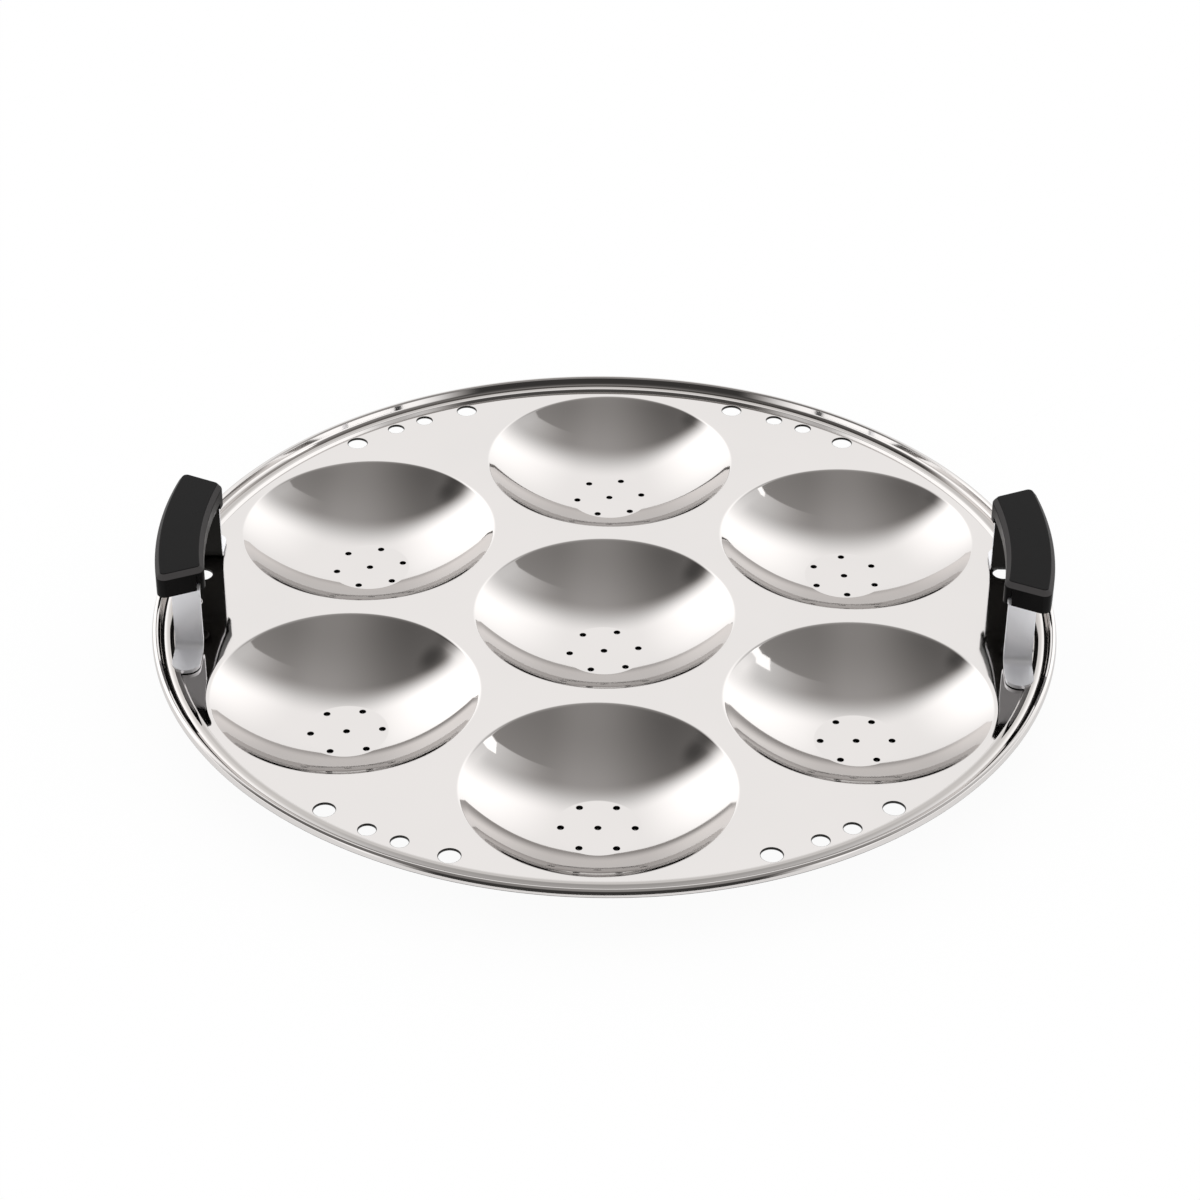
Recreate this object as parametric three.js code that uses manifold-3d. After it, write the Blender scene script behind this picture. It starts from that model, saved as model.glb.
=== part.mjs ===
// Idli steamer plate: a round pressed sheet with seven cups and two bridge handles.
// Millimetres, +Z up. The origin is at the plate's centre, level with the underside of the cup floors.
// The handles stand on the plate at +X and -X.

import * as THREE from 'three';
import { mergeVertices } from 'three/addons/utils/BufferGeometryUtils.js';
import Module from 'manifold-3d';

const wasm = await Module();
wasm.setup();

// Clearances

const seatGap = 0.3; // between pieces that touch
const overrun = 1; // by which a cutting solid passes the faces that it cuts
const samePoint = 0.001; // points of an outline that are nearer than this are one point

// Sheet and cups

const sheet = 0.8;
const cupMouthRadius = 41.6; // where the flat sheet starts to turn down
const cupEdgeBend = 2; // radius of that turn, on the upper face
const cupWallAngle = THREE.MathUtils.degToRad(43.35); // slope of the wall below the turn
const cupFloorRadius = 12.5; // flat disc at the bottom
const webBetweenCups = 6;
const outerCups = 6;

// Steam holes in each cup floor: one in the middle and a ring

const pinholeRadius = 0.95;
const pinholeRingRadius = 10.9;
const pinholesInRing = 6;
const middlePinholeTurn = 9; // degrees, as punched
const outerPinholeTurns = [33, 10, 15, 8, 1, 2]; // degrees, from the cup at the back right

// Rim: a low ridge, a short upright wall and a rolled lip

const cupToEdge = 9.2; // from an outer cup's mouth to the outside of the lip
const lipWidth = 1.9;
const lipHeight = 2.45;
const lipTopRise = 2.85; // above the flat sheet
const wallInset = 2.5; // foot of the upright wall, in from the outside
const ridgeInset = 6; // inner foot of the low ridge, in from the outside
const ridgeRise = 0.4;

// Steam holes along the edge, in groups between the outer cups

const edgeHoleInset = 11.3; // from the outside of the lip to the holes' centres
const edgeHoleGroups = 6;
const edgeHolePatternTurn = 2; // degrees
const largeEdgeHoleRadius = 3.25;
const smallEdgeHoleRadius = 2.65;
const largeEdgeHoleSpacing = 42.1; // between the two large holes of a group, along their circle
const smallEdgeHoleSpacing = 10.9; // between the two small holes of a group, along their circle

// Handle bracket: an arched bridge with two bent legs that end in welded feet

const strapThickness = 1.2;
const strapWidth = 8.6;
const strapInset = 13.7; // from the outside of the lip to the middle of the legs
const legSpan = 48.8; // between the middles of the two legs
const footToFoot = 75.4; // over the round ends of both feet
const footBendRadius = 3.6; // on the middle of the strap
const topBendRadius = 2.4; // on the middle of the strap
const bridgeRise = 24.2; // top of the bridge above the flat sheet
const bridgeEndClearance = 3.6; // from the middle of a leg back to the bridge's end
const bridgeInnerSetback = 0.6; // inner edge of the bridge behind the grip's inner face

// Grip: a curved bar that caps the bridge

const gripOuterInset = 2.7; // from the outside of the lip to the grip's outer face
const gripWidth = 14.7;
const gripBody = 5.5; // thickness above the bridge
const gripSkirt = 2.3; // reach of the outer and end walls below the body
const gripTopOuterLength = 57; // of the flat top, inside its chamfer
const gripTopInnerLength = 46.7; // of the flat top, inside its chamfer
const gripWall = 2;
const gripChamferWidth = 1.35;
const gripChamferHeight = 1.8;
const gripTopCorner = 1.2; // rounding of the flat top's four corners
const gripSlotWidth = 1; // narrow slot beside each end's inner lug
const gripSlotHeight = 5.3;

// Fixings

const screwSpacing = 27.2; // between the two screws of a handle
const screwShankRadius = 1.5;
const screwHeadRadius = 2.8;
const screwHeadHeight = 1.8;
const screwHeadRound = 0.7;
const screwReach = 5.2; // shank length past the bridge's underside
const recessLength = 3;
const recessWidth = 0.8;
const recessDepth = 1;
const insertWall = 0.7;
const insertLength = 3.8;
const insertCollar = 0.8; // length of the wider collar at its mouth
const insertCollarWidth = 0.5; // by which the collar is wider in radius

// Steps along round shapes

const rimSteps = 64;
const cupSteps = 28;
const wallSteps = 3;
const bendSteps = 1;
const pinholeSteps = 6;
const edgeHoleSteps = 8;
const ridgeSteps = 2;
const lipSteps = 4;
const stripSteps = 4;
const gripArcSteps = 12;
const fixingSteps = 12;

// Derived sizes

const cupPitchRadius = 2 * cupMouthRadius + webBetweenCups;
const plateRadius = cupPitchRadius + cupMouthRadius + cupToEdge;
const cupDishCentreReach = cupMouthRadius / Math.sin(cupWallAngle);
const cupDishRadius = cupDishCentreReach - cupEdgeBend;
const cupDishCentreRise = cupDishCentreReach * Math.cos(cupWallAngle) - cupEdgeBend;
const cupDepth = Math.sqrt(cupDishRadius ** 2 - cupFloorRadius ** 2) - cupDishCentreRise;
const landTop = cupDepth + sheet;
const edgeHoleCircle = plateRadius - edgeHoleInset;

const strapCentre = plateRadius - strapInset;
const bridgeTop = landTop + bridgeRise;
const bridgeUnderside = bridgeTop - strapThickness;
const legMiddle = legSpan / 2;

const gripOuterRadius = plateRadius - gripOuterInset;
const gripInnerRadius = gripOuterRadius - gripWidth;
const gripMiddleRadius = gripOuterRadius - gripWidth / 2;
const gripSeat = bridgeTop + seatGap;
const gripTop = gripSeat + gripBody;
const gripBottom = gripSeat - gripSkirt;
const bridgeInnerRadius = gripInnerRadius + bridgeInnerSetback;
const bridgeOuterRadius = gripOuterRadius - gripWall - seatGap;
const bridgeEnd = legMiddle - bridgeEndClearance;

const screwHeadTop = bridgeUnderside - seatGap;
const screwHoleRadius = screwShankRadius + seatGap;
const insertBore = screwShankRadius + seatGap;
const insertRadius = insertBore + insertWall;
const insertCollarRadius = insertRadius + insertCollarWidth;
const screwAngle = Math.asin(screwSpacing / 2 / gripMiddleRadius);

// Materials

const polishedSteel = { color: 0xdedcd9, roughness: 0.08, metalness: 1 };
const satinPhenolic = { color: 0x2b2a2a, roughness: 0.38, metalness: 0 };
const platedSteel = { color: 0xb9b8b6, roughness: 0.3, metalness: 1 };
const brass = { color: 0xb8944f, roughness: 0.35, metalness: 1 };

// Solids from geometries, and back

function solidOf(geometry) {
  const bare = geometry.clone();
  bare.deleteAttribute('normal');
  bare.deleteAttribute('uv');
  const merged = mergeVertices(bare);
  const triangles = [];
  for (let i = 0; i < merged.index.count; i += 3) {
    const [a, b, c] = [0, 1, 2].map((k) => merged.index.getX(i + k));
    if (a !== b && b !== c && c !== a) triangles.push(a, b, c);
  }
  return new wasm.Manifold(new wasm.Mesh({
    numProp: 3,
    vertProperties: new Float32Array(merged.attributes.position.array),
    triVerts: new Uint32Array(triangles),
  }));
}

function geometryOf(solid) {
  const mesh = solid.getMesh();
  const geometry = new THREE.BufferGeometry();
  geometry.setAttribute('position', new THREE.BufferAttribute(mesh.vertProperties, 3));
  geometry.setIndex(new THREE.BufferAttribute(mesh.triVerts, 1));
  geometry.computeVertexNormals();
  return geometry;
}

function place(geometry, x, y, z) {
  return geometry.translate(x, y, z);
}

// A profile of [radius, height] points turned about the Z axis.
function turned(profile, steps) {
  const points = profile.map(([radius, height]) => new THREE.Vector2(radius, height));
  return new THREE.LatheGeometry(points, steps).rotateX(Math.PI / 2);
}

// The same outline in straight steps, without doubled points where two curves meet.
function stepped(shape, steps) {
  const apart = (point, i, all) => point.distanceTo(all.at(i - 1)) > samePoint;
  return new THREE.Shape(shape.getPoints(steps).filter(apart));
}

// A plan outline raised along Z between two heights.
function raised(shape, bottom, top, curveSegments) {
  const settings = { depth: top - bottom, bevelEnabled: false, curveSegments };
  return place(new THREE.ExtrudeGeometry(shape, settings), 0, 0, bottom);
}

function post(radius, bottom, top, steps) {
  const cylinder = new THREE.CylinderGeometry(radius, radius, top - bottom, steps).rotateX(Math.PI / 2);
  return place(cylinder, 0, 0, (bottom + top) / 2);
}

function block(low, high) {
  const size = high.map((value, axis) => value - low[axis]);
  const middle = high.map((value, axis) => (value + low[axis]) / 2);
  return place(new THREE.BoxGeometry(...size), ...middle);
}

// Points along an arc in a profile, from one angle to another, both ends included.
function arcPoints(centreX, centreZ, radius, from, to, steps) {
  return Array.from({ length: steps + 1 }, (_, i) => {
    const angle = from + (to - from) * (i / steps);
    return [centreX + radius * Math.cos(angle), centreZ + radius * Math.sin(angle)];
  });
}

// Cups

// Upper face of a cup from the floor's edge to its mouth. A positive offset gives the face below it.
function cupWall(offset) {
  const dish = cupDishRadius + offset;
  const bend = cupEdgeBend - offset;
  const floorAngle = -Math.acos(cupFloorRadius / cupDishRadius);
  const mouthAngle = cupWallAngle - Math.PI / 2;
  const wall = arcPoints(0, landTop + cupDishCentreRise, dish, floorAngle, mouthAngle, wallSteps);
  const turn = arcPoints(
    cupMouthRadius, landTop - cupEdgeBend, bend, Math.PI / 2 + cupWallAngle, Math.PI / 2, bendSteps);
  return [...wall, ...turn.slice(1)];
}

function cupFaces(offset) {
  const wall = cupWall(offset);
  wall[0][1] = landTop - cupDepth - offset;
  return [[0, wall[0][1]], ...wall];
}

function cupHollow() {
  const top = landTop + overrun;
  return turned([...cupFaces(0), [cupMouthRadius, top], [0, top]], cupSteps);
}

function cupBulge() {
  const top = landTop - sheet / 2;
  return turned([...cupFaces(sheet), [cupMouthRadius, top], [0, top]], cupSteps);
}

function cupPlaces() {
  const places = [{ x: 0, y: 0, turn: middlePinholeTurn }];
  for (let i = 0; i < outerCups; i += 1) {
    const angle = ((i + 0.5) * 2 * Math.PI) / outerCups;
    places.push({
      x: cupPitchRadius * Math.cos(angle),
      y: cupPitchRadius * Math.sin(angle),
      turn: outerPinholeTurns[i % outerPinholeTurns.length],
    });
  }
  return places;
}

function pinholes(cup) {
  const drill = () => post(pinholeRadius, -overrun, sheet + overrun, pinholeSteps);
  const holes = [place(drill(), cup.x, cup.y, 0)];
  for (let i = 0; i < pinholesInRing; i += 1) {
    const angle = THREE.MathUtils.degToRad(cup.turn) + (i * 2 * Math.PI) / pinholesInRing;
    const x = cup.x + pinholeRingRadius * Math.cos(angle);
    const y = cup.y + pinholeRingRadius * Math.sin(angle);
    holes.push(place(drill(), x, y, 0));
  }
  return holes;
}

// Rim and flat sheet

function ridge() {
  const outer = plateRadius - wallInset;
  const inner = plateRadius - ridgeInset;
  return Array.from({ length: ridgeSteps + 1 }, (_, i) => {
    const along = i / ridgeSteps;
    return [inner + (outer - inner) * along, landTop + ridgeRise * Math.sin(Math.PI * along)];
  });
}

function lip() {
  const round = lipWidth / 2;
  const centre = plateRadius - round;
  const upper = landTop + lipTopRise - round;
  const lower = landTop + lipTopRise - lipHeight + round;
  return [
    ...arcPoints(centre, upper, round, Math.PI, 0, lipSteps),
    ...arcPoints(centre, lower, round, 0, (-3 * Math.PI) / 4, lipSteps - 1),
  ];
}

function flatSheet() {
  const underside = landTop - sheet;
  const wallOutside = plateRadius - wallInset + sheet / 2;
  const profile = [[0, underside], [wallOutside, underside], ...lip().reverse(), ...ridge().reverse(), [0, landTop]];
  return turned(profile, rimSteps);
}

function edgeHoles() {
  const holes = [];
  const pairs = [[largeEdgeHoleSpacing, largeEdgeHoleRadius], [smallEdgeHoleSpacing, smallEdgeHoleRadius]];
  for (let group = 0; group < edgeHoleGroups; group += 1) {
    const middle = THREE.MathUtils.degToRad(edgeHolePatternTurn) + (group * 2 * Math.PI) / edgeHoleGroups;
    for (const [spacing, radius] of pairs) {
      for (const side of [-1, 1]) {
        const angle = middle + (side * spacing) / 2 / edgeHoleCircle;
        const drill = post(radius, landTop - sheet - overrun, landTop + overrun, edgeHoleSteps);
        holes.push(place(drill, edgeHoleCircle * Math.cos(angle), edgeHoleCircle * Math.sin(angle), 0));
      }
    }
  }
  return holes;
}

function idliPlate() {
  let plate = solidOf(flatSheet());
  for (const cup of cupPlaces()) plate = plate.add(solidOf(place(cupBulge(), cup.x, cup.y, 0)));
  for (const cup of cupPlaces()) {
    plate = plate.subtract(solidOf(place(cupHollow(), cup.x, cup.y, 0)));
    for (const hole of pinholes(cup)) plate = plate.subtract(solidOf(hole));
  }
  for (const hole of edgeHoles()) plate = plate.subtract(solidOf(hole));
  return plate;
}

// Handle bracket, drawn at +X

// Outline of a bent strip: straight runs and bends along its middle, with half its thickness each side.
function bentStrip(start, heading, runs, thickness) {
  const near = [];
  const far = [];
  let [x, z] = start;
  let angle = heading;
  const mark = () => {
    const [across, up] = [(-Math.sin(angle) * thickness) / 2, (Math.cos(angle) * thickness) / 2];
    near.push(new THREE.Vector2(x + across, z + up));
    far.unshift(new THREE.Vector2(x - across, z - up));
  };
  mark();
  for (const run of runs) {
    if (run.length !== undefined) {
      x += run.length * Math.cos(angle);
      z += run.length * Math.sin(angle);
      mark();
    } else {
      const side = Math.sign(run.bend);
      const centre = [x - side * run.radius * Math.sin(angle), z + side * run.radius * Math.cos(angle)];
      const from = angle;
      for (let i = 1; i <= stripSteps; i += 1) {
        angle = from + (run.bend * i) / stripSteps;
        x = centre[0] + side * run.radius * Math.sin(angle);
        z = centre[1] - side * run.radius * Math.cos(angle);
        mark();
      }
    }
  }
  return new THREE.Shape([...near, ...far]);
}

// The round-ended plan of a leg and its foot, which trims the bent strip.
function legPlan() {
  const round = strapWidth / 2;
  const footMiddle = footToFoot / 2 - round;
  const shape = new THREE.Shape();
  shape.moveTo(strapCentre - round, 0);
  shape.lineTo(strapCentre + round, 0);
  shape.lineTo(strapCentre + round, footMiddle);
  shape.absarc(strapCentre, footMiddle, round, 0, Math.PI, false);
  return shape;
}

function leg() {
  const start = bridgeEnd - strapThickness;
  const middleTop = bridgeTop - strapThickness / 2;
  const middleFoot = landTop + seatGap + strapThickness / 2;
  const runs = [
    { length: legMiddle - topBendRadius - start },
    { bend: -Math.PI / 2, radius: topBendRadius },
    { length: middleTop - middleFoot - topBendRadius - footBendRadius },
    { bend: Math.PI / 2, radius: footBendRadius },
    { length: footToFoot / 2 - legMiddle - footBendRadius },
  ];
  const settings = { depth: strapWidth, bevelEnabled: false };
  const strip = new THREE.ExtrudeGeometry(bentStrip([start, middleTop], 0, runs, strapThickness), settings);
  strip.rotateX(Math.PI / 2).rotateZ(Math.PI / 2);
  place(strip, strapCentre - strapWidth / 2, 0, 0);
  const trim = raised(legPlan(), landTop - overrun, bridgeTop + overrun, gripArcSteps);
  return solidOf(strip).intersect(solidOf(trim));
}

// Part of a ring between two radii, symmetrical about the X axis.
function ringPart(innerRadius, outerRadius, halfLength) {
  const halfAngle = Math.asin(halfLength / ((innerRadius + outerRadius) / 2));
  const shape = new THREE.Shape();
  shape.absarc(0, 0, outerRadius, -halfAngle, halfAngle, false);
  shape.absarc(0, 0, innerRadius, halfAngle, -halfAngle, true);
  return shape;
}

function mirrored(solid) {
  return solid.mirror([0, 1, 0]);
}

function screwPlaces() {
  return [-1, 1].map((side) => [
    gripMiddleRadius * Math.cos(screwAngle), side * gripMiddleRadius * Math.sin(screwAngle),
  ]);
}

function handleBracket() {
  const plan = ringPart(bridgeInnerRadius, bridgeOuterRadius, bridgeEnd);
  let bracket = solidOf(raised(plan, bridgeUnderside, bridgeTop, gripArcSteps));
  bracket = bracket.add(leg()).add(mirrored(leg()));
  for (const [x, y] of screwPlaces()) {
    const drill = post(screwHoleRadius, bridgeUnderside - overrun, bridgeTop + overrun, fixingSteps);
    bracket = bracket.subtract(solidOf(place(drill, x, y, 0)));
  }
  return bracket;
}

// Grip, drawn at +X

// Plan of the grip's flat top: two arcs about the plate's centre and slanted ends with round corners.
function gripTopPlan() {
  const outerRadius = gripOuterRadius - gripChamferWidth;
  const innerRadius = gripInnerRadius + gripChamferWidth;
  const cornerAt = (radius, length) => {
    const angle = Math.asin(length / 2 / radius);
    return new THREE.Vector2(radius * Math.cos(angle), radius * Math.sin(angle));
  };
  const outer = cornerAt(outerRadius, gripTopOuterLength);
  const inner = cornerAt(innerRadius, gripTopInnerLength);
  const slant = outer.clone().sub(inner).setLength(gripTopCorner);
  const outerAngle = outer.angle() - gripTopCorner / outerRadius;
  const innerAngle = inner.angle() - gripTopCorner / innerRadius;
  const [outerArcX, outerArcY] = [outerRadius * Math.cos(outerAngle), outerRadius * Math.sin(outerAngle)];
  const [innerArcX, innerArcY] = [innerRadius * Math.cos(innerAngle), innerRadius * Math.sin(innerAngle)];
  const shape = new THREE.Shape();
  shape.absarc(0, 0, outerRadius, -outerAngle, outerAngle, false);
  shape.quadraticCurveTo(outer.x, outer.y, outer.x - slant.x, outer.y - slant.y);
  shape.lineTo(inner.x + slant.x, inner.y + slant.y);
  shape.quadraticCurveTo(inner.x, inner.y, innerArcX, innerArcY);
  shape.absarc(0, 0, innerRadius, innerAngle, -innerAngle, true);
  shape.quadraticCurveTo(inner.x, -inner.y, inner.x + slant.x, -inner.y - slant.y);
  shape.lineTo(outer.x - slant.x, slant.y - outer.y);
  shape.quadraticCurveTo(outer.x, -outer.y, outerArcX, -outerArcY);
  return shape;
}

function gripBar() {
  const settings = {
    depth: gripTop - gripBottom - gripChamferHeight,
    bevelEnabled: true,
    bevelThickness: gripChamferHeight,
    bevelSize: gripChamferWidth,
    bevelSegments: 1,
  };
  const plan = stepped(gripTopPlan(), gripArcSteps / 3);
  const bar = solidOf(place(new THREE.ExtrudeGeometry(plan, settings), 0, 0, gripBottom));
  const reach = plateRadius + overrun;
  const below = block([0, -reach, 0], [reach, reach, gripBottom]);
  return bar.subtract(solidOf(below));
}

// Channel under the grip for the bridge. It is open on the grip's inner side.
function bridgeChannel() {
  const plan = ringPart(gripInnerRadius - overrun, gripOuterRadius - gripWall, bridgeEnd + seatGap);
  return raised(plan, gripBottom - overrun, gripSeat, gripArcSteps);
}

// Pockets for the bent ends of the legs, behind the grip's end walls.
function legPocket() {
  const half = strapWidth / 2 + seatGap;
  const reach = legMiddle + strapThickness / 2 + seatGap;
  return block([strapCentre - half, 0, gripBottom - overrun], [strapCentre + half, reach, gripSeat]);
}

function endSlot() {
  const low = strapCentre - strapWidth / 2 - seatGap;
  return block(
    [low, legMiddle, gripBottom - overrun],
    [low + gripSlotWidth, gripTopOuterLength / 2 + gripChamferWidth, gripBottom + gripSlotHeight]);
}

function handleGrip() {
  let grip = gripBar().subtract(solidOf(bridgeChannel()));
  for (const cut of [legPocket(), endSlot()]) {
    grip = grip.subtract(solidOf(cut)).subtract(mirrored(solidOf(cut)));
  }
  const boreTop = gripSeat + insertLength + seatGap;
  for (const [x, y] of screwPlaces()) {
    const bore = post(insertRadius + seatGap, gripSeat - overrun, boreTop, fixingSteps);
    const collarTop = gripSeat + insertCollar + seatGap;
    const mouth = post(insertCollarRadius + seatGap, gripSeat - overrun, collarTop, fixingSteps);
    grip = grip.subtract(solidOf(place(bore, x, y, 0))).subtract(solidOf(place(mouth, x, y, 0)));
  }
  return grip;
}

// Fixings, drawn on the Z axis

function screw() {
  const headBottom = screwHeadTop - screwHeadHeight;
  const tip = bridgeUnderside + screwReach;
  const flat = screwHeadRadius - screwHeadRound;
  const edge = arcPoints(flat, headBottom + screwHeadRound, screwHeadRound, -Math.PI / 2, 0, bendSteps);
  const profile = [
    [0, headBottom], ...edge, [screwHeadRadius, screwHeadTop], [screwShankRadius, screwHeadTop],
    [screwShankRadius, tip], [0, tip],
  ];
  const recessTop = headBottom + recessDepth;
  const [long, short] = [recessLength / 2, recessWidth / 2];
  const below = headBottom - overrun;
  return solidOf(turned(profile, fixingSteps))
    .subtract(solidOf(block([-long, -short, below], [long, short, recessTop])))
    .subtract(solidOf(block([-short, -long, below], [short, long, recessTop])));
}

function threadedInsert() {
  const top = gripSeat + insertLength;
  const collarTop = gripSeat + insertCollar;
  return solidOf(turned([
    [insertBore, gripSeat], [insertCollarRadius, gripSeat], [insertCollarRadius, collarTop],
    [insertRadius, collarTop], [insertRadius, top], [insertBore, top], [insertBore, gripSeat],
  ], fixingSteps));
}

// Assembly

function part(name, solid, look) {
  const mesh = new THREE.Mesh(geometryOf(solid), new THREE.MeshStandardMaterial(look));
  mesh.name = name;
  return mesh;
}

function handle(side) {
  const group = new THREE.Group();
  group.add(part(`${side}_handle_bracket`, handleBracket(), polishedSteel));
  group.add(part(`${side}_handle_grip`, handleGrip(), satinPhenolic));
  screwPlaces().forEach(([x, y], i) => {
    const screwPart = part(`${side}_handle_screw_${i + 1}`, screw(), platedSteel);
    const insertPart = part(`${side}_grip_insert_${i + 1}`, threadedInsert(), brass);
    for (const piece of [screwPart, insertPart]) {
      piece.position.set(x, y, 0);
      group.add(piece);
    }
  });
  return group;
}

const steamerPlate = new THREE.Group();
steamerPlate.add(part('idli_plate', idliPlate(), polishedSteel));
const rightHandle = handle('right');
const leftHandle = handle('left');
leftHandle.rotation.z = Math.PI;
steamerPlate.add(rightHandle, leftHandle);

export default steamerPlate;
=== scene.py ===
"""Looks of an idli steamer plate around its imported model.

The plate is one pressed and mirror polished stainless steel sheet with seven cups, a ridge and a
rolled lip. Two bent steel brackets stand on it, each with a moulded phenolic grip, two cross-head
screws and two brass inserts. Sizes are in millimetres, in the model's own frame: +Z is up, the
origin is under the middle cup, and the handles stand at +X and -X.
"""

import logging
import math
from dataclasses import dataclass, field
from enum import Enum
from itertools import pairwise
from typing import Any, Iterable, Sequence

import bmesh
import bpy
from mathutils import Matrix, Vector


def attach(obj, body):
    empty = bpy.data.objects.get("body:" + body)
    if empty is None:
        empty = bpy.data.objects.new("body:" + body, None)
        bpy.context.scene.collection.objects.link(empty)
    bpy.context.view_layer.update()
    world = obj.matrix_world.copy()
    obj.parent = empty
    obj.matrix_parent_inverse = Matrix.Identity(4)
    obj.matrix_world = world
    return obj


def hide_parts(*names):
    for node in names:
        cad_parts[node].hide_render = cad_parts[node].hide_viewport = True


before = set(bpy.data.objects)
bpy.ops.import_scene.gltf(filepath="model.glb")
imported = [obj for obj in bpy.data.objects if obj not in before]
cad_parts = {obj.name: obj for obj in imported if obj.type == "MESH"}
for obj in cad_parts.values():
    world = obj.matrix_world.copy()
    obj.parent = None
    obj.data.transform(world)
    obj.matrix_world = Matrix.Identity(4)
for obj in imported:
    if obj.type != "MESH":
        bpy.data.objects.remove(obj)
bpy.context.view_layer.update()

LOG = logging.getLogger("idli_steamer_plate")
MM = 0.001  # metres in a millimetre
SAME_PLACE = 0.0005  # points nearer than this are one point
LEVEL_NORMAL = 0.985  # faces whose normal stands more upright than this are level
CENTRE = (0.0, 0.0, 0.0)
UPWARDS = (0.0, 0.0, 1.0)
FULL_LIGHT = (1.0, 1.0, 1.0, 1.0)
NOISE = (0.3, 0.7)  # nearly all of a noise pattern lies between these
SHARE, FIRST, SECOND = 0, 2, 3  # inputs of a Mix node of numbers
FIRST_TINT, SECOND_TINT, MIXED_TINT = 6, 7, 2  # two inputs and the result of one of colours

Point = tuple[float, float]
Span = tuple[float, float]  # lowest and highest value


class Side(Enum):
    """The side of the plate on which a handle stands, with its turn about the plate's axis."""

    RIGHT = ("right", 0.0)
    LEFT = ("left", math.pi)

    @property
    def label(self) -> str:
        """Word that starts the names of this side's pieces."""
        return self.value[0]

    @property
    def turn(self) -> Matrix:
        """Turn that brings a handle drawn at +X to this side."""
        return Matrix.Rotation(self.value[1], 4, "Z")


# Plane curves


@dataclass(frozen=True)
class Corner:
    """A corner of a path, with the radius of its rounding."""

    x: float
    y: float
    radius: float = 0.0


def polar(radius: float, angle: float, centre: Point = (0.0, 0.0)) -> Point:
    """Point at a radius and an angle in radians round a centre."""
    return centre[0] + radius * math.cos(angle), centre[1] + radius * math.sin(angle)


def arc(centre: Point, radius: float, start: float, end: float, steps: int) -> list[Point]:
    """Points along an arc, both ends included.

    Args:
        centre: Middle of the circle.
        radius: Its radius.
        start: First angle, in degrees.
        end: Last angle, in degrees.
        steps: Number of straight steps.

    Returns:
        The points, in order.
    """
    angles = [math.radians(start + (end - start) * i / steps) for i in range(steps + 1)]
    return [polar(radius, angle, centre) for angle in angles]


def rounded(corners: Sequence[Corner], closed: bool = False, step: float = 8.0) -> list[Point]:
    """Path along straight runs with an arc in place of each corner.

    Args:
        corners: Corners in order. A radius of 0 keeps a corner sharp.
        closed: Whether the last corner joins the first.
        step: Largest turn of one straight step of an arc, in degrees.

    Returns:
        The points of the path, in order.
    """
    points: list[Point] = []
    for i, corner in enumerate(corners):
        at = Vector((corner.x, corner.y))
        if corner.radius <= 0 or (not closed and i in (0, len(corners) - 1)):
            points.append(at.to_tuple())
            continue
        before, after = corners[i - 1], corners[(i + 1) % len(corners)]
        back = (Vector((before.x, before.y)) - at).normalized()
        ahead = (Vector((after.x, after.y)) - at).normalized()
        half = back.angle(ahead) / 2
        middle = at + (back + ahead).normalized() * (corner.radius / math.sin(half))
        first = at + back * (corner.radius / math.tan(half)) - middle
        last = at + ahead * (corner.radius / math.tan(half)) - middle
        start = math.atan2(first.y, first.x)
        sweep = math.remainder(math.atan2(last.y, last.x) - start, math.tau)
        steps = max(2, math.ceil(abs(math.degrees(sweep)) / step))
        ends = math.degrees(start), math.degrees(start + sweep)
        points += arc(middle.to_tuple(), corner.radius, *ends, steps)
    return points


# Mesh work


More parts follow.
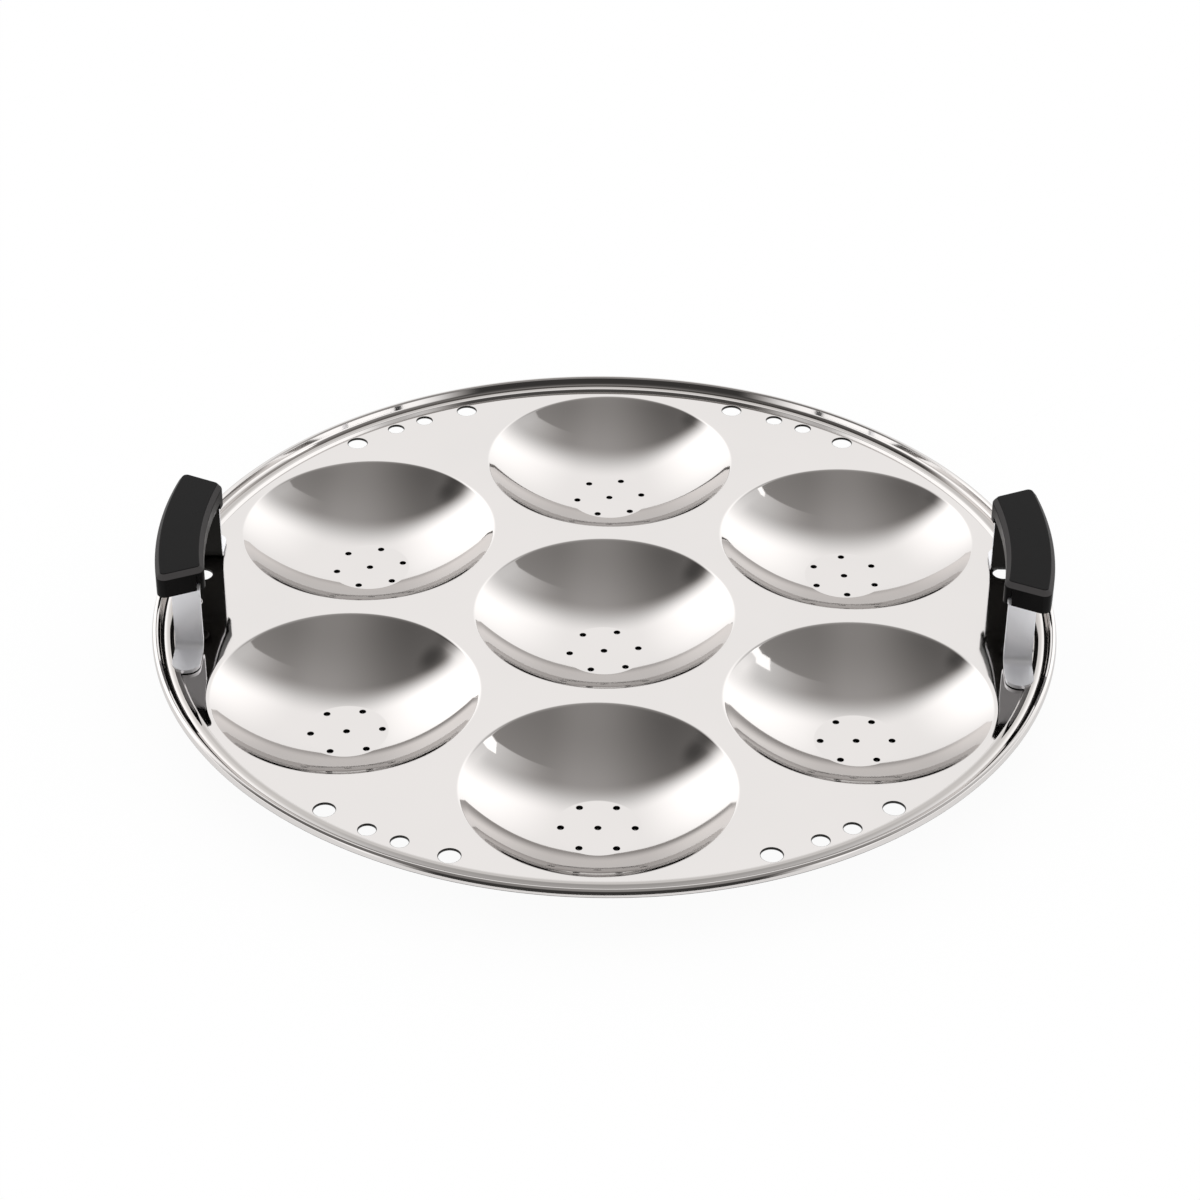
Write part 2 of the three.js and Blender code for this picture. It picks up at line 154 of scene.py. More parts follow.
class Workpiece:
    """A mesh on the bench, in millimetres, and the operators that shape it."""

    def __init__(self) -> None:
        """Starts with an empty mesh."""
        self.bm = bmesh.new()

    def wire(self, points: Iterable[Sequence[float]], closed: bool = False) -> list[Any]:
        """Draws a line of edges.

        Args:
            points: Places of its vertices.
            closed: Whether the last joins the first.

        Returns:
            The new edges.
        """
        verts = [self.bm.verts.new(point) for point in points]
        pairs = list(pairwise(verts)) + ([(verts[-1], verts[0])] if closed else [])
        return [self.bm.edges.new(pair) for pair in pairs]

    def turn(self, profile: Sequence[Point], steps: int) -> None:
        """Turns a profile fully round the Z axis.

        Args:
            profile: Points of radius and height.
            steps: Steps of the full turn.
        """
        edges = self.wire([(r, 0.0, z) for r, z in profile])
        verts = list(dict.fromkeys(v for edge in edges for v in edge.verts))
        bmesh.ops.spin(
            self.bm, geom=verts + edges, cent=CENTRE, axis=UPWARDS, dvec=CENTRE, angle=math.tau,
            steps=steps, use_merge=True, use_duplicate=False)

    def stamp(
        self, profile: Sequence[Point], steps: int, places: Iterable[Point], wall_slot: int = 0,
    ) -> None:
        """Adds copies of one turned form at several plan positions.

        Args:
            profile: Points of radius and height.
            steps: Steps of the full turn.
            places: Where the axis of each copy stands.
            wall_slot: Material slot of all faces that aren't level.
        """
        form = Workpiece()
        form.turn(profile, steps)
        form.bm.normal_update()
        for face in form.bm.faces:
            face.material_index = wall_slot if abs(face.normal.z) < LEVEL_NORMAL else 0
        mesh = bpy.data.meshes.new("form")
        form.bm.to_mesh(mesh)
        form.bm.free()
        for x, y in places:
            move = Matrix.Translation((x, y, 0.0))
            mesh.transform(move)
            self.bm.from_mesh(mesh)
            mesh.transform(move.inverted())
        bpy.data.meshes.remove(mesh)

    def open_edges(self) -> list[Any]:
        """Edges that have a face on one side only."""
        return [edge for edge in self.bm.edges if edge.is_boundary]

    def close_flat(self, edges: Sequence[Any]) -> list[Any]:
        """Fills a level region between its outline and its holes.

        Args:
            edges: The edges of the outline and of the holes.

        Returns:
            The new faces.
        """
        made = bmesh.ops.triangle_fill(
            self.bm, use_beauty=True, use_dissolve=False, edges=edges, normal=UPWARDS)
        return [item for item in made["geom"] if isinstance(item, bmesh.types.BMFace)]

    def raise_faces(self, faces: Sequence[Any], move: Sequence[float]) -> list[Any]:
        """Extrudes faces and moves the new ones.

        Args:
            faces: Faces to extrude.
            move: Move of the new faces.

        Returns:
            The new end faces.
        """
        made = bmesh.ops.extrude_face_region(self.bm, geom=list(faces))["geom"]
        verts = [item for item in made if isinstance(item, bmesh.types.BMVert)]
        bmesh.ops.translate(self.bm, vec=move, verts=verts)
        return [item for item in made if isinstance(item, bmesh.types.BMFace)]

    def bend(self, face: Any, centre: Sequence[float], angle: float, steps: int) -> Any:
        """Sweeps an end face round an axis along X.

        Args:
            face: The end face.
            centre: A point of the axis.
            angle: Turn in degrees.
            steps: Steps of the turn.

        Returns:
            The new end face.
        """
        made = bmesh.ops.spin(
            self.bm, geom=[face], cent=centre, axis=(1.0, 0.0, 0.0), dvec=CENTRE,
            angle=math.radians(angle), steps=steps, use_merge=False, use_duplicate=False)
        return next(item for item in made["geom_last"] if isinstance(item, bmesh.types.BMFace))

    def block(self, low: Sequence[float], high: Sequence[float]) -> list[Any]:
        """Adds a block between two corners.

        Args:
            low: Its lowest corner.
            high: Its highest corner.

        Returns:
            Its vertices.
        """
        size = [b - a for a, b in zip(low, high)]
        middle = [(a + b) / 2 for a, b in zip(low, high)]
        place = Matrix.Translation(middle) @ Matrix.Diagonal((*size, 1.0))
        return bmesh.ops.create_cube(self.bm, size=1.0, matrix=place)["verts"]

    def round_edges(self, edges: Sequence[Any], width: float, segments: int) -> None:
        """Rounds edges.

        Args:
            edges: Edges to round.
            width: Width of the rounding along each face.
            segments: Its steps.
        """
        bmesh.ops.bevel(
            self.bm, geom=list(edges), offset=width, offset_type="OFFSET", segments=segments,
            profile=0.5, affect="EDGES", clamp_overlap=True, material=-1, loop_slide=True)

    def sharp_edges(self, angle: float) -> list[Any]:
        """Edges whose two faces turn by more than an angle in degrees."""
        limit = math.radians(angle)
        return [e for e in self.bm.edges if e.is_manifold and e.calc_face_angle(0.0) > limit]

    def finish(
        self, name: str, materials: Sequence[bpy.types.Material] = (),
        place: Matrix | None = None,
    ) -> bpy.types.Object:
        """Merges doubles, points the faces outwards and makes the object, in metres.

        Args:
            name: Name of the piece.
            materials: Its materials, in the order of their slots.
            place: Turn or move of the whole mesh, in millimetres.

        Returns:
            The object, at the origin.
        """
        bm = self.bm
        bmesh.ops.remove_doubles(bm, verts=bm.verts, dist=SAME_PLACE)
        bmesh.ops.recalc_face_normals(bm, faces=bm.faces)
        if place is not None:
            bmesh.ops.transform(bm, matrix=place, verts=bm.verts)
        bmesh.ops.scale(bm, vec=(MM, MM, MM), verts=bm.verts)
        for face in bm.faces:
            face.smooth = True
        mesh = bpy.data.meshes.new(name)
        bm.to_mesh(mesh)
        bm.free()
        for material in materials:
            mesh.materials.append(material)
        piece = bpy.data.objects.new(name, mesh)
        bpy.context.scene.collection.objects.link(piece)
        return piece


def carve(
    piece: bpy.types.Object, cutters: Sequence[bpy.types.Object], place: Matrix,
    finish: bpy.types.Material, crease: float,
) -> None:
    """Cuts pieces out of another one, removes the cutters, then sets and dresses what is left.

    Args:
        piece: The piece that is cut.
        cutters: Closed meshes.
        place: Turn or move of the piece after the cut, in metres.
        finish: Its material.
        crease: Angle in degrees from which one of its edges is shaded sharp.
    """
    for cutter in cutters:
        cut = piece.modifiers.new("cut", "BOOLEAN")
        cut.operation, cut.solver, cut.object = "DIFFERENCE", "EXACT", cutter
    graph = bpy.context.evaluated_depsgraph_get()
    mesh = bpy.data.meshes.new_from_object(piece.evaluated_get(graph))
    piece.modifiers.clear()
    uncut, piece.data = piece.data, mesh
    bpy.data.meshes.remove(uncut)
    mesh.name = piece.name
    for cutter in cutters:
        bpy.data.objects.remove(cutter)
    mesh.transform(place)
    for polygon in mesh.polygons:
        polygon.use_smooth = True
    mesh.materials.clear()
    mesh.materials.append(finish)
    mesh.set_sharp_from_angle(angle=math.radians(crease))


def even_normals(piece: bpy.types.Object, keep_sharp: bool) -> None:
    """Lets large flat faces rule the shading beside their rounded edges."""
    weighted = piece.modifiers.new("flat faces", "WEIGHTED_NORMAL")
    weighted.weight, weighted.keep_sharp = 100, keep_sharp


# Finishes


def colour(hex_code: str) -> tuple[float, float, float, float]:
    """Linear colour of an sRGB hex code such as "#ECEAE7"."""
    parts = [int(hex_code[i:i + 2], 16) / 255 for i in (1, 3, 5)]
    linear = [p / 12.92 if p <= 0.04045 else ((p + 0.055) / 1.055) ** 2.4 for p in parts]
    return (*linear, 1.0)


def add_node(
    tree: bpy.types.NodeTree, kind: str, settings: dict[str, Any] | None = None,
    inputs: dict[str | int, Any] | None = None,
) -> bpy.types.Node:
    """Adds a node with its settings, values and links.

    Args:
        tree: Node tree that receives it.
        kind: Type of the node.
        settings: Attributes of the node.
        inputs: For each input, a value, or an output socket to link to it.

    Returns:
        The node.
    """
    node = tree.nodes.new(kind)
    for name, value in (settings or {}).items():
        setattr(node, name, value)
    for name, value in (inputs or {}).items():
        if isinstance(value, bpy.types.NodeSocket):
            tree.links.new(value, node.inputs[name])
        else:
            node.inputs[name].default_value = value
    return node


def blank_material(name: str) -> tuple[bpy.types.Material, bpy.types.NodeTree]:
    """A material with an empty node tree."""
    material = bpy.data.materials.new(name)
    material.use_nodes = True
    material.node_tree.nodes.clear()
    return material, material.node_tree


def per_metre(millimetres: float) -> float:
    """Texture scale whose features are about as wide as a size in millimetres."""
    return 1 / (millimetres * MM)


class Along(Enum):
    """What a band is measured along, as the share of each axis in that length."""

    RADIUS = (1.0, 1.0, 0.0)
    HEIGHT = (0.0, 0.0, 1.0)


@dataclass(frozen=True)
class PaintedBand:
    """A stretch of a surface tinted as painted shade or highlight, such as a groove's dark line."""

    along: Along
    span: Span  # where it starts and ends, in millimetres
    tint: str
    roughness: float | None = None  # None leaves the surface's own
    fade: float = 0.001  # half the width over which each end fades, in millimetres


@dataclass(frozen=True)
class Grain:
    """A pattern in a surface."""

    size: float  # of its features, in millimetres
    height: float = 0.0  # of its relief, in millimetres
    detail: float = 2.0
    roughness: float = 0.5
    stretch: tuple[float, float, float] = (1.0, 1.0, 1.0)


@dataclass(frozen=True)
class Finish:
    """What all finishes share: clouds of tint and roughness, fine relief and painted shade or
    highlight.
    """

    name: str
    tints: tuple[str, str]
    clouds: Grain
    relief: tuple[Grain, ...]
    roughness: Span
    painted_bands: tuple[PaintedBand, ...] = ()
    metallic: float = 1.0
    edge_tint: str = "#FFFFFF"
    specular: float = 0.5
    index: float | None = None  # of refraction; a metal keeps the default

    def pattern(
        self, tree: bpy.types.NodeTree, place: bpy.types.NodeSocket, grain: Grain,
    ) -> bpy.types.NodeSocket:
        """Draws the noise of a grain.

        Args:
            tree: Node tree of the material.
            place: Place on the piece.
            grain: The grain.

        Returns:
            The value of its noise.
        """
        at = add_node(tree, "ShaderNodeMapping", inputs={"Vector": place, "Scale": grain.stretch})
        noise = add_node(tree, "ShaderNodeTexNoise", inputs={
            "Vector": at.outputs[0], "Scale": per_metre(grain.size), "Detail": grain.detail,
            "Roughness": grain.roughness})
        return noise.outputs["Fac"]

    def share(
        self, tree: bpy.types.NodeTree, place: bpy.types.NodeSocket, band: PaintedBand,
    ) -> bpy.types.NodeSocket:
        """Finds how much of a band shows at a place.

        Args:
            tree: Node tree of the material.
            place: Place on the piece.
            band: The band.

        Returns:
            A value of 1 inside the band and 0 outside.
        """
        flat = add_node(
            tree, "ShaderNodeMapping", inputs={"Vector": place, "Scale": band.along.value})
        reach = add_node(
            tree, "ShaderNodeVectorMath", {"operation": "LENGTH"}, {0: flat.outputs[0]})
        sides = [
            add_node(tree, "ShaderNodeMapRange", {"interpolation_type": "SMOOTHSTEP"}, {
                "Value": reach.outputs["Value"], "From Min": (edge - way * band.fade) * MM,
                "From Max": (edge + way * band.fade) * MM}).outputs["Result"]
            for edge, way in zip(band.span, (1, -1))]
        inside = add_node(
            tree, "ShaderNodeMath", {"operation": "MULTIPLY"}, {0: sides[0], 1: sides[1]})
        return inside.outputs[0]

    def make(self) -> bpy.types.Material:
        """Builds the material."""
        material, tree = blank_material(self.name)
        place = add_node(tree, "ShaderNodeTexCoord").outputs["Object"]
        clouds = self.pattern(tree, place, self.clouds)
        light, dark = self.tints
        surface = add_node(tree, "ShaderNodeMix", {"data_type": "RGBA"}, {
            SHARE: clouds, FIRST_TINT: colour(light),
            SECOND_TINT: colour(dark)}).outputs[MIXED_TINT]
        roughness = add_node(tree, "ShaderNodeMapRange", inputs={
            "Value": clouds, "From Min": NOISE[0], "From Max": NOISE[1],
            "To Min": self.roughness[0], "To Max": self.roughness[1]}).outputs["Result"]
        # each painted band paints shade or a highlight into the tint, and may set its own roughness
        for band in self.painted_bands:
            share = self.share(tree, place, band)
            surface = add_node(tree, "ShaderNodeMix", {"data_type": "RGBA"}, {
                SHARE: share, FIRST_TINT: surface,
                SECOND_TINT: colour(band.tint)}).outputs[MIXED_TINT]
            if band.roughness is not None:
                roughness = add_node(tree, "ShaderNodeMix", {"data_type": "FLOAT"}, {
                    SHARE: share, FIRST: roughness, SECOND: band.roughness}).outputs[0]
        relief: dict[str, bpy.types.NodeSocket] = {}
        for grain in self.relief:
            bump = add_node(tree, "ShaderNodeBump", inputs={
                "Height": self.pattern(tree, place, grain), "Distance": grain.height * MM,
                "Strength": 1.0, **relief})
            relief = {"Normal": bump.outputs["Normal"]}
        index = {} if self.index is None else {"IOR": self.index}
        shader = add_node(tree, "ShaderNodeBsdfPrincipled", inputs={
            "Base Color": surface, "Roughness": roughness, "Metallic": self.metallic,
            "Specular Tint": colour(self.edge_tint), "Specular IOR Level": self.specular,
            **index, **relief})
        add_node(tree, "ShaderNodeOutputMaterial", inputs={"Surface": shader.outputs[0]})
        return material


@dataclass(frozen=True)
class BuffedSteel(Finish):
    """Austenitic stainless steel sheet, pressed and then buffed to a mirror.

    It mirrors its surroundings almost sharply. Buffing leaves a faint haze that comes and goes over
    a few centimetres, and pressing leaves a slight waviness that bends long reflections. The real
    buffing lines are finer than the 1.6 mm drawn here and would not show.
    """

    name: str = "buffed_stainless_steel"
    tints: tuple[str, str] = ("#D9D5D3", "#D4D1CF")
    clouds: Grain = Grain(38.0, detail=3.0, roughness=0.55)
    relief: tuple[Grain, ...] = (Grain(46.0, 0.035, 1.0, 0.4), Grain(1.6, 0.0005, 2.0, 0.6))
    roughness: Span = (0.028, 0.06)
    edge_tint: str = "#EDEDED"  # steel reflects a little less just before grazing


@dataclass(frozen=True)
class BuffedStrip(BuffedSteel):
    """The same steel as strip, bent and lightly buffed: painted bright, with soft reflections."""

    name: str = "buffed_stainless_strip_painted_bright"
    # painted highlight: a near-white tint, partly diffuse as metallic is below 1, makes the legs
    # bright
    tints: tuple[str, str] = ("#F6F6F9", "#F0F0F3")
    relief: tuple[Grain, ...] = (Grain(46.0, 0.01, 1.0, 0.4), Grain(1.6, 0.0005, 2.0, 0.6))
    roughness: Span = (0.38, 0.46)
    metallic: float = 0.86


@dataclass(frozen=True)
class MouldedPhenolic(Finish):
    """Black phenolic resin, compression moulded and tumbled.

    It is a dense near-black with a satin skin: a soft broad highlight and a very fine grain. The
    real grain is about 0.1 mm and would not show, so it is drawn at 0.9 mm.
    """

    name: str = "moulded_phenolic"
    tints: tuple[str, str] = ("#0F0F0F", "#161515")
    clouds: Grain = Grain(14.0, detail=4.0, roughness=0.6)
    relief: tuple[Grain, ...] = (Grain(0.9, 0.004),)
    roughness: Span = (0.26, 0.36)
    metallic: float = 0.0
    specular: float = 0.05
    index: float | None = 1.5


@dataclass(frozen=True)
class StripShade(MouldedPhenolic):
    """Dark grey painted shade on the strip's lower and inner faces, with less sheen than a
    moulding.
    """

    name: str = "painted_strip_shade"
    tints: tuple[str, str] = ("#242322", "#2E2D2B")
    roughness: Span = (0.35, 0.45)


ROUND = (0.1, 0.1, 1.0)  # draws a pattern out in plan, as marks that run round a piece


@dataclass(frozen=True)
class ShearedSteel(Finish):
    """Stainless steel as the punch and shear leave it, torn in fine lines and dull; its dark tint
    is painted shade.
    """

    name: str = "sheared_steel_edge_painted_shade"
    tints: tuple[str, str] = ("#3E3D3B", "#282726")
    clouds: Grain = Grain(3.0, detail=3.0)
    relief: tuple[Grain, ...] = (Grain(0.6, 0.01, stretch=ROUND),)
    roughness: Span = (0.35, 0.5)


@dataclass(frozen=True)
class BlackZinc(Finish):
    """Steel plated with black zinc: an almost even dark sheen over the marks of thread rolling."""

    name: str = "black_zinc_plated_steel"
    tints: tuple[str, str] = ("#3A3937", "#2C2B2A")
    clouds: Grain = Grain(2.5, detail=3.0)
    relief: tuple[Grain, ...] = (Grain(0.5, 0.003, stretch=ROUND),)
    roughness: Span = (0.3, 0.42)


@dataclass(frozen=True)
class TurnedBrass(Finish):
    """Free-cutting brass, turned: warm yellow with fine tool marks round it."""

    name: str = "turned_brass"
    tints: tuple[str, str] = ("#C9A45C", "#A98443")
    clouds: Grain = Grain(2.0, detail=3.0)
    relief: tuple[Grain, ...] = (Grain(0.4, 0.006, stretch=ROUND),)
    roughness: Span = (0.28, 0.42)


# Sub-assemblies


@dataclass(frozen=True)
class IdliPlate:
    """The pressed sheet: seven cups with pinholes, steam holes, a ridge and a rolled lip."""

    radius: float = 140.0
    sheet: float = 0.8
    land_top: float = 15.985
    cup_mouth: float = 41.6
    cup_edge_bend: float = 2.0
    cup_wall_angle: float = 43.35
    cup_dish: float = 58.602
    cup_dish_rise: float = 42.068  # of the dish's centre above the land
    floor_blend: float = 4.0  # radius between the flat floor and the wall
    cup_pitch: float = 89.2
    outer_cups: int = 6
    land_ring: float = 0.6  # level ring round each mouth, which keeps the land's shading flat
    cup_steps: int = 144
    upper_steps: tuple[int, int, int] = (4, 14, 7)  # of the floor's blend, the wall and the edge
    lower_steps: tuple[int, int, int] = (3, 8, 4)
    pinhole: float = 0.95
    pinhole_ring: float = 10.9
    ring_pinholes: int = 6
    pinhole_turns: tuple[float, ...] = (9.0, 33.0, 10.0, 15.0, 8.0, 1.0, 2.0)  # middle cup first
    pinhole_edge: float = 0.13
    pinhole_level: float = 0.03
    pinhole_steps: int = 24
    edge_hole_circle: float = 128.7
    edge_groups: int = 6
    edge_turn: float = 2.0
    large_hole: float = 3.25
    large_spacing: float = 42.1
    small_hole: float = 2.65
    small_spacing: float = 10.9
    hole_edge: float = 0.17
    hole_level: float = 0.25
    hole_steps: int = 40
    wall_steps: int = 3  # of each rounded edge of a hole
    raw_edge: float = 0.7  # width of the lip's cut edge, seen from below
    raw_lean: float = -0.1  # the cut edge's faces point lower than this
    rim_start: float = 132.46  # where the flat land ends and the drawn rim begins
    rim_steps: int = 288
    rim: tuple[Corner, ...] = (  # heights over the land: ridge, groove, lip and its underside
        Corner(132.62, 0.0, 0.08), Corner(133.18, 1.0, 0.2), Corner(134.6, 1.12, 0.8),
        Corner(136.3, 0.75, 0.25), Corner(136.6, -0.1, 0.07), Corner(136.86, -0.1, 0.07),
        Corner(137.55, 0.7, 1.6), Corner(138.08, 2.4, 0.25), Corner(138.75, 2.85, 0.45),
        Corner(139.6, 2.45, 0.3), Corner(140.0, 1.4, 0.15), Corner(140.0, 0.42, 0.45),
        Corner(138.72, 0.42, 0.2), Corner(138.5, -0.8, 0.7))
    painted_bands: tuple[PaintedBand, ...] = (
        PaintedBand(Along.RADIUS, (133.5, 135.5), "#B4B0AD", fade=0.5),  # ridge, tinted greyer: painted shade
        PaintedBand(Along.RADIUS, (136.5, 136.92), "#1B1A19", 0.6))  # groove, a near-black and rougher line: painted shade

    @property
    def underside(self) -> float:
        """Height of the land's lower face."""
        return self.land_top - self.sheet

    def cup_places(self) -> list[tuple[Point, float]]:
        """Plan position of each cup, and the turn of its pinholes in degrees.

        The outer cups stand half a step off the X axis, where the handles are.
        """
        angles = [math.radians((i + 0.5) * 360 / self.outer_cups) for i in range(self.outer_cups)]
        cups = [(0.0, 0.0), *(polar(self.cup_pitch, angle) for angle in angles)]
        return list(zip(cups, self.pinhole_turns))

    def cup_profile(self, offset: float, steps: tuple[int, int, int]) -> list[Point]:
        """Face of a cup from its flat floor to the level ring round its mouth.

        Args:
            offset: 0 for the upper face, the sheet's thickness for the lower one.
            steps: Steps of the floor's blend, of the wall and of the edge's bend.

        Returns:
            Points of radius and height.
        """
        dish_z = self.land_top + self.cup_dish_rise
        blend_z = self.sheet + self.floor_blend
        blend_r = math.sqrt((self.cup_dish - self.floor_blend) ** 2 - (dish_z - blend_z) ** 2)
        meet = math.degrees(math.atan2(blend_z - dish_z, blend_r))
        edge = (self.cup_mouth, self.land_top - self.cup_edge_bend)
        wall = self.cup_wall_angle
        return [
            *arc((blend_r, blend_z), blend_z - (self.sheet - offset), -90, meet, steps[0]),
            *arc((0.0, dish_z), self.cup_dish + offset, meet, wall - 90, steps[1])[1:],
            *arc(edge, self.cup_edge_bend - offset, 90 + wall, 90, steps[2])[1:],
            (self.cup_mouth + self.land_ring, self.land_top - offset)]

    def hole_profile(self, radius: float, top: float, edge: float, level: float) -> list[Point]:
        """Wall of a punched hole, with rounded edges and a level ring above and below.

        Args:
            radius: Radius of the hole.
            top: Height of the sheet's upper face.
            edge: Radius of the rounded upper edge. The lower one is half as round.
            level: Width of the level rings.

        Returns:
            Points of radius and height.
        """
        low = top - self.sheet
        burr = edge / 2
        upper = arc((radius + edge, top - edge), edge, 90, 180, self.wall_steps)
        lower = arc((radius + burr, low + burr), burr, 180, 270, self.wall_steps)
        return [(radius + edge + level, top), *upper, *lower, (radius + edge + level, low)]

    def rim_profile(self) -> list[Point]:
        """Section of the rim, from the land over the ridge, groove and lip back under the land."""
        ends = Corner(self.rim_start, 0.0), Corner(self.rim_start, -self.sheet)
        return [(x, y + self.land_top) for x, y in rounded([ends[0], *self.rim, ends[1]])]

    def edge_holes(self, spacing: float) -> list[Point]:
        """Plan positions of the steam holes of one size along the edge, in pairs.

        Args:
            spacing: Distance between the two holes of a pair, along their circle.

        Returns:
            The positions, pair by pair.
        """
        middles = [
            math.radians(self.edge_turn + group * 360 / self.edge_groups)
            for group in range(self.edge_groups)]
        return [
            polar(self.edge_hole_circle, middle + side * spacing / 2 / self.edge_hole_circle)
            for middle in middles for side in (-1, 1)]

    def pinholes(self, cup: Point, turn: float) -> list[Point]:
        """Plan positions of a cup's pinholes: one in the middle and a ring around it."""
        angles = [turn + i * 360 / self.ring_pinholes for i in range(self.ring_pinholes)]
        return [cup, *(polar(self.pinhole_ring, math.radians(a), cup) for a in angles)]

    def build(self, finish: bpy.types.Material, sheared_shaded: bpy.types.Material) -> bpy.types.Object:
        """Models the plate and dresses it.

        Args:
            finish: Material of the sheet.
            sheared_shaded: Material of the walls of the punched holes and of the lip's cut edge,
                darkened with painted shade.

        Returns:
            The piece.
        """
        work = Workpiece()
        work.stamp(self.rim_profile(), self.rim_steps, [(0.0, 0.0)])
        cups = [cup for cup, _ in self.cup_places()]
        work.stamp(self.cup_profile(0.0, self.upper_steps), self.cup_steps, cups)
        work.stamp(self.cup_profile(self.sheet, self.lower_steps), self.cup_steps, cups)
        # hole walls take slot 1: the sheared steel, whose dark tint is painted shade
        wall = self.hole_profile(self.pinhole, self.sheet, self.pinhole_edge, self.pinhole_level)
        pins = [hole for cup, turn in self.cup_places() for hole in self.pinholes(cup, turn)]
        work.stamp(wall, self.pinhole_steps, pins, wall_slot=1)
        for radius, spacing in (
                (self.large_hole, self.large_spacing), (self.small_hole, self.small_spacing)):
            wall = self.hole_profile(radius, self.land_top, self.hole_edge, self.hole_level)
            work.stamp(wall, self.hole_steps, self.edge_holes(spacing), wall_slot=1)
        self.close_flats(work)
        bmesh.ops.recalc_face_normals(work.bm, faces=work.bm.faces)
        # the lip's downward cut edge also takes the sheared steel's painted shade
        for face in work.bm.faces:
            middle = face.calc_center_median()
            outside = math.hypot(middle.x, middle.y) > self.radius - self.raw_edge
            if outside and face.normal.z < self.raw_lean:
                face.material_index = 1
        return work.finish("idli_plate_sheet", [finish, sheared_shaded])

    def close_flats(self, work: Workpiece) -> None:
        """Fills the land and the cup floors between their outlines and holes, above and below."""
        edges = work.open_edges()
        land = [((0.0, 0.0), self.radius)]
        floors = [(cup, self.cup_mouth) for cup, _ in self.cup_places()]
        for height, regions in (
                (self.land_top, land), (self.underside, land), (self.sheet, floors), (0.0, floors)):
            level = [e for e in edges if all(abs(v.co.z - height) < SAME_PLACE for v in e.verts)]
            for (x, y), reach in regions:
                near = [
                    e for e in level
                    if math.hypot(e.verts[0].co.x - x, e.verts[0].co.y - y) < reach]
                work.close_flat(near)


@dataclass(frozen=True)
class HandleLayout:
    """Sizes that the pieces of a handle share."""

    land_top: float = 15.985
    gap: float = 0.3
    strap: float = 1.2
    bridge_top: float = 40.185
    grip_outer: float = 137.3
    grip_inner: float = 122.6
    grip_wall: float = 2.0
    leg_middle: float = 24.4
    strap_centre: float = 126.3
    strap_width: float = 8.6
    bridge_half: float = 20.8
    screw_spacing: float = 27.2

    @property
    def grip_seat(self) -> float:
        """Height of the grip's face over the bridge."""
        return self.bridge_top + self.gap

    @property
    def bridge_under(self) -> float:
        """Height of the bridge's lower face."""
        return self.bridge_top - self.strap

    def screw_places(self) -> list[Point]:
        """Plan positions of the two screws of the handle at +X."""
        middle = (self.grip_outer + self.grip_inner) / 2
        angle = math.asin(self.screw_spacing / 2 / middle)
        return [polar(middle, side * angle) for side in (-1, 1)]


